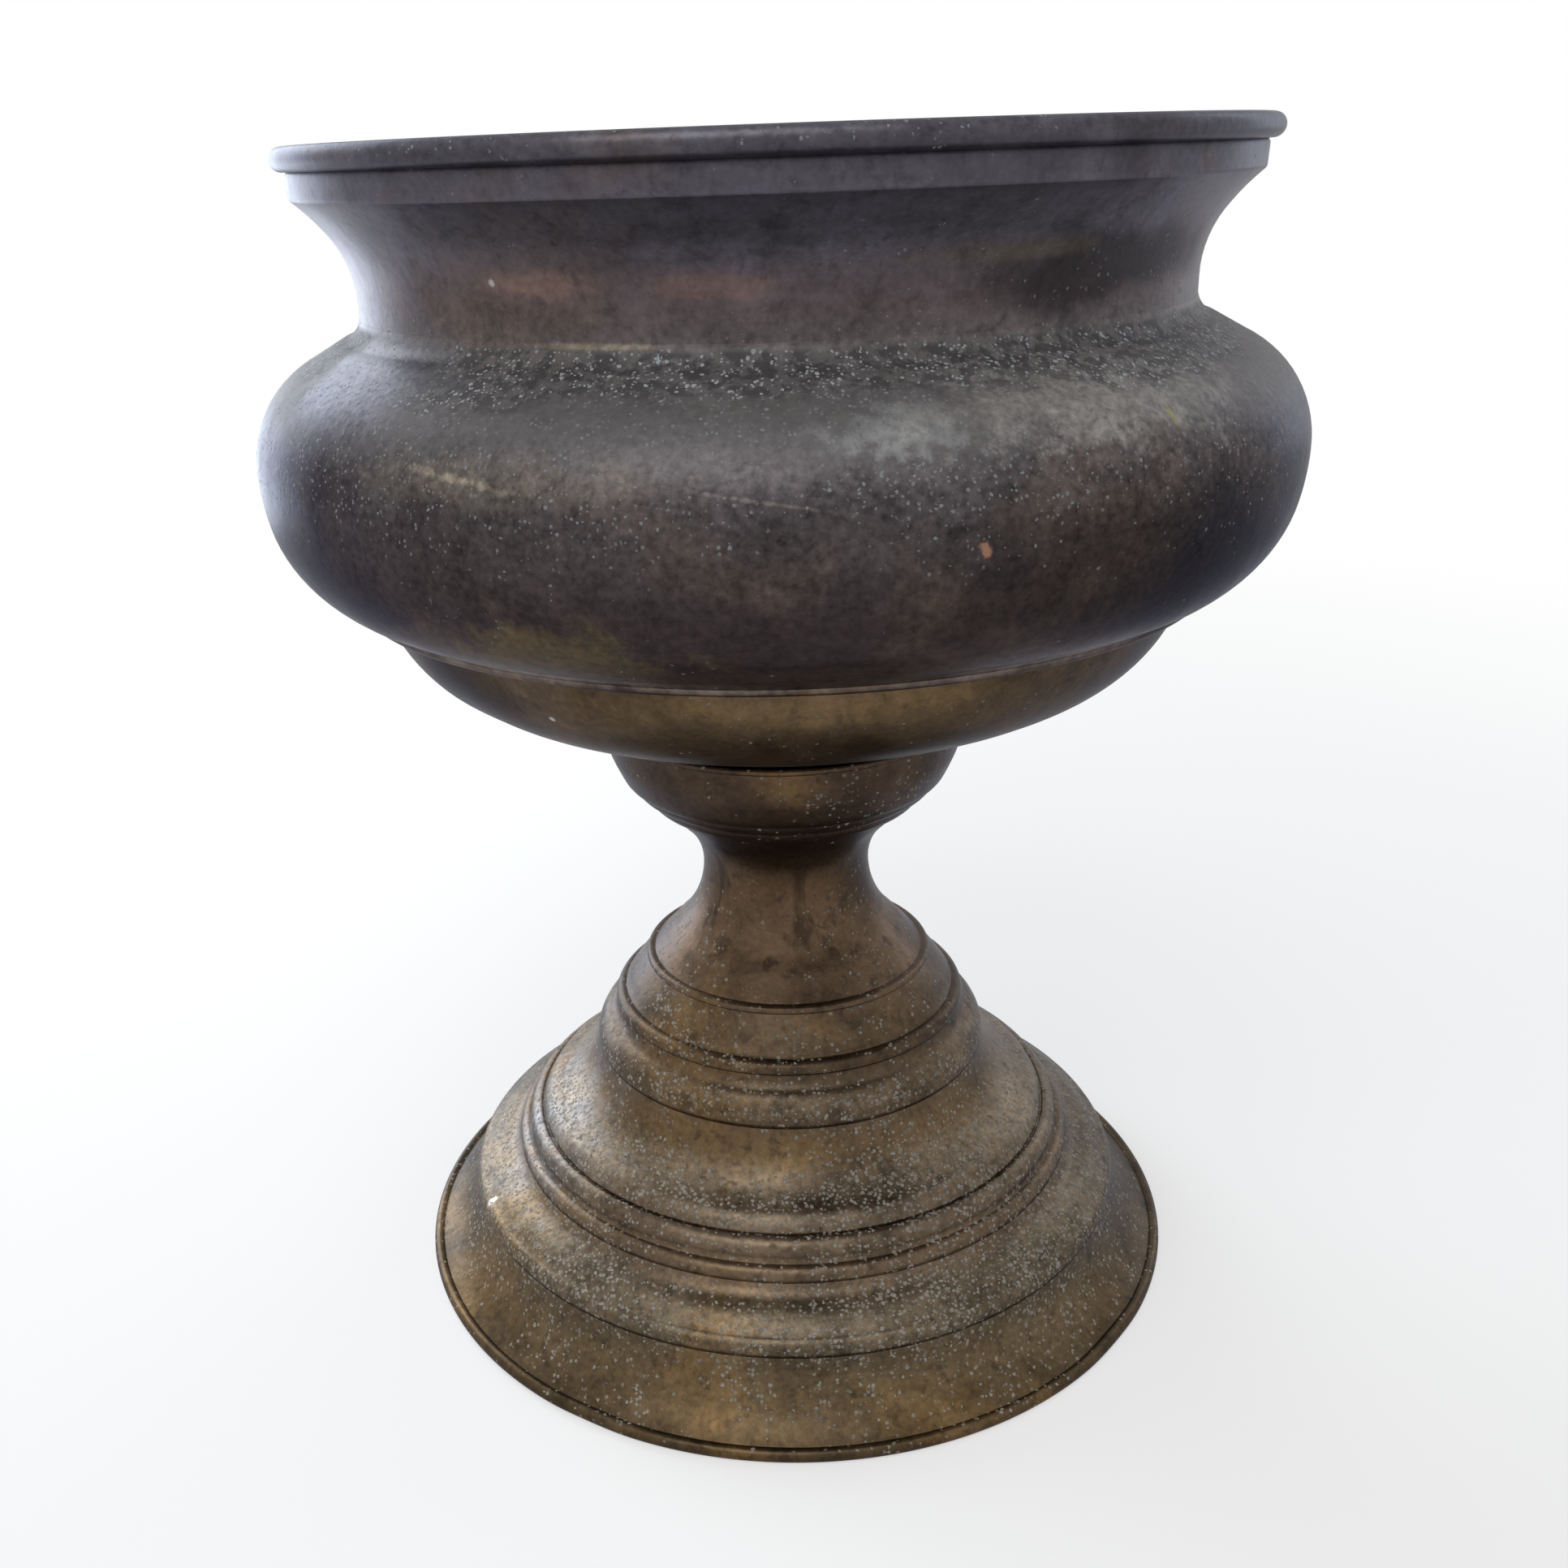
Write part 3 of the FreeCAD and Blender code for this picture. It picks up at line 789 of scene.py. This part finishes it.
footDome = {
    "steps": 224,
    "meridian": [
        (152.1, 94.5), (168.4, 94.5), (168.6, 96.6, 0.3), (157.5, 106.0, 1.5), (127.2, 140.5, -4.6),
        (129.0, 144.6, 0.5), (120.8, 160.4, 1.7), (113.6, 169.6, -1.5), (115.0, 171.4, 0.3),
        (110.0, 178.0, 1.5), (95.6, 178.0), (95.6, 182.0),
    ],
    "dents": [((-60, -126, 120), 30, 1.0), ((90, 100, 125), 34, 1.2)],
}
makeSpun("spun_foot_dome", "foot_dome", footDome, standFinish)

stemBand = {
    "steps": 192,
    "meridian": [
        (95.7, 178.0), (108.6, 178.0), (107.4, 180.2, 0.3), (92.4, 200.0, 0.5), (93.2, 201.4, 0.3),
        (89.6, 204.5, 0.9), (75.8, 204.5), (75.8, 208.5),
    ],
}
makeSpun("spun_stem_band", "stem_band", stemBand, standFinish)

stemTrumpet = {
    "steps": 192,
    "meridian": [
        (75.9, 204.5), (87.8, 204.5), (74.4, 219.0, -0.3), (53.2, 266.0, -5.4), (66.0, 296.0, -3.3),
        (79.0, 309.0), (59.9, 309.0), (59.9, 327.6),
    ],
    "dents": [((-20, -52, 250), 24, 0.8)],
}
makeSpun("spun_stem", "stem", stemTrumpet, standFinish)

reedPair = {
    "steps": 160,
    "lower_reed": [(60.0, 309.0), (80.0, 309.0), (88.5, 317.5, 1.5), (60.0, 317.5), (60.0, 309.0)],
    "upper_reed": [(60.0, 317.5), (88.7, 317.5), (97.2, 326.0, 1.5), (60.0, 326.0), (60.0, 317.5)],
}
for node in ("lower_reed", "upper_reed"):
    dressAs(spinSheet("turned_" + node, reedPair[node], reedPair["steps"], wall=0), node, standFinish)

collarCup = {
    "steps": 192,
    "meridian": [
        (60.0, 326.0), (98.5, 326.0), (103.0, 331.5, 0.5), (109.4, 346.0, 0.2), (111.6, 363.6, 0.3),
        (112.5, 365.2, 0.2), (112.2, 367.0, 0.3), (111.2, 367.6, 0.2),
    ],
    "dents": [((70, -85, 360), 22, 0.8)],
}
makeSpun("spun_collar_cup", "collar_cup", collarCup, standFinish)
print("stand made")


# the jardiniere

basinBowl = {
    "steps": 256,
    "meridian": [
        (0, 369.0), (105.0, 369.0), (178.0, 395.5, 1.0), (193.6, 402.0, 0.6), (237.6, 455.5, 7.6),
        (237.6, 459.0), (244.6, 459.0),
    ],
    "dents": [((-150, -130, 410), 40, 1.0)],
}
makeSpun("spun_basin", "basin", basinBowl, bowlFinish)

bulgeShell = {
    "steps": 288,
    "meridian": [
        (237.7, 457.4), (246.6, 456.6), (252.2, 461.0, 1.6), (264.3, 467.8, -0.6), (292.0, 505.4, 4.0),
        (296.3, 536.4, 1.0), (262.0, 591.9, 9.6), (244.1, 601.9), (232.5, 613.9, -2.5), (230.7, 613.9),
        (230.7, 622.9),
    ],
    "dents": [((290, -40, 520), 60, 2.4), ((-200, -215, 545), 50, 1.2), ((60, 285, 530), 70, 2.0)],
}
makeSpun("spun_bulge", "bulge_shell", bulgeShell, bowlFinish)

flareCollar = {
    "steps": 288,
    "meridian": [
        (232.4, 613.9), (232.4, 622.9), (246.0, 659.9, -3.6), (260.8, 674.9, -0.5), (262.1, 677.1, 0.3),
        (262.6, 687.7), (259.28, 694.13), (259.0, 695.7, -0.07), (263.6, 700.3, -1.35),
        (268.2, 695.7, -1.35), (263.6, 691.1, -1.35), (262.57, 691.22, -0.03),
    ],
    "dents": [((-100, -240, 655), 46, 1.0), ((160, 200, 660), 50, 1.4)],
}
makeSpun("spun_flare", "flare_collar", flareCollar, bowlFinish)
print("jardiniere made")


# floor, backdrop and light

studio = {
    "floorSize": 16.0,
    "floorPlace": (0, 2.0, 0),
    "paper": 0.5,          # what the floor gives back to the object
    "paperRough": 0.9,
    "paperGlow": 0.55,     # added where it is seen, so that lit paper is white and the shadow stays
    "paperEnd": (0.7, 2.2),          # m over which the paper runs out into white
    "world": 0.35,
}
lights = [
    {"name": "windowLeft", "place": (-1.42, 1.35, 0.9), "target": (0, 0, 0.4), "size": (1.1, 1.9),
     "power": 34, "colour": (0.84, 0.92, 1.0)},
    {"name": "edgeRight", "place": (1.7, 1.3, 1.1), "target": (0, 0, 0.3), "size": (0.3, 1.6),
     "power": 4.5, "colour": (0.86, 0.93, 1.0)},
    {"name": "topFront", "place": (-0.4, -1.3, 2.5), "target": (0, 0, 0.45), "size": (1.6, 1.6),
     "power": 20, "colour": (1, 1, 1)},
]


def makePaper(name):
    s = nodeSheet(name)
    path = s.put("ShaderNodeLightPath").outputs
    seen = s.math("MAXIMUM", path["Is Camera Ray"], path["Is Glossy Ray"])
    seen = s.math("MAXIMUM", seen, path["Is Transmission Ray"])
    far = s.band(s.length(s.coords), *studio["paperEnd"])
    s.give(s.mix(s.times(far, seen), grey(studio["paper"]), grey(0)), "Base Color")
    glow = s.plus(studio["paperGlow"], s.times(far, 1.0 - studio["paperGlow"]))
    s.give(s.mix(s.times(seen, glow), grey(0), grey(1)), "Emission Color")
    s.give(1.0, "Emission Strength")
    s.give(studio["paperRough"], "Roughness")
    s.give(0.0, "Specular IOR Level")
    return s.material


def makeFloor():
    deselectAll()
    bpy.ops.mesh.primitive_plane_add(size=studio["floorSize"], location=studio["floorPlace"])
    floor = bpy.context.object
    floor.name = "studioFloor"
    bpy.ops.object.transform_apply(location=True, rotation=True, scale=True)
    floor.data.materials.append(makePaper("paperFloor"))


def makeSky():
    # white where it is seen or mirrored, dimmer where it only lights
    world = bpy.data.worlds.new("studioWorld")
    bpy.context.scene.world = world
    world.use_nodes = True
    nodes, links = world.node_tree.nodes, world.node_tree.links
    nodes.clear()
    choose = nodes.new("ShaderNodeMixShader")
    for socket, strength in ((1, studio["world"]), (2, 1.0)):
        light = nodes.new("ShaderNodeBackground")
        light.inputs[0].default_value = grey(1)
        light.inputs[1].default_value = strength
        links.new(light.outputs[0], choose.inputs[socket])
    path = nodes.new("ShaderNodeLightPath").outputs
    seen = path["Is Camera Ray"]
    for other in ("Is Glossy Ray", "Is Transmission Ray"):
        either = nodes.new("ShaderNodeMath")
        either.operation = "MAXIMUM"
        links.new(seen, either.inputs[0])
        links.new(path[other], either.inputs[1])
        seen = either.outputs[0]
    links.new(seen, choose.inputs[0])
    links.new(choose.outputs[0], nodes.new("ShaderNodeOutputWorld").inputs[0])


def areaLight(plan):
    data = bpy.data.lights.new(plan["name"], "AREA")
    data.shape = "RECTANGLE"
    data.size, data.size_y = plan["size"]
    data.energy = plan["power"]
    data.color = plan["colour"]
    lamp = bpy.data.objects.new(plan["name"], data)
    bpy.context.scene.collection.objects.link(lamp)
    lamp.location = plan["place"]
    towards = Vector(plan["target"]) - Vector(plan["place"])
    lamp.rotation_euler = towards.to_track_quat("-Z", "Y").to_euler()


makeFloor()
makeSky()
for plan in lights:
    areaLight(plan)
print("studio set")

bpy.context.scene.view_settings.view_transform = "Standard"
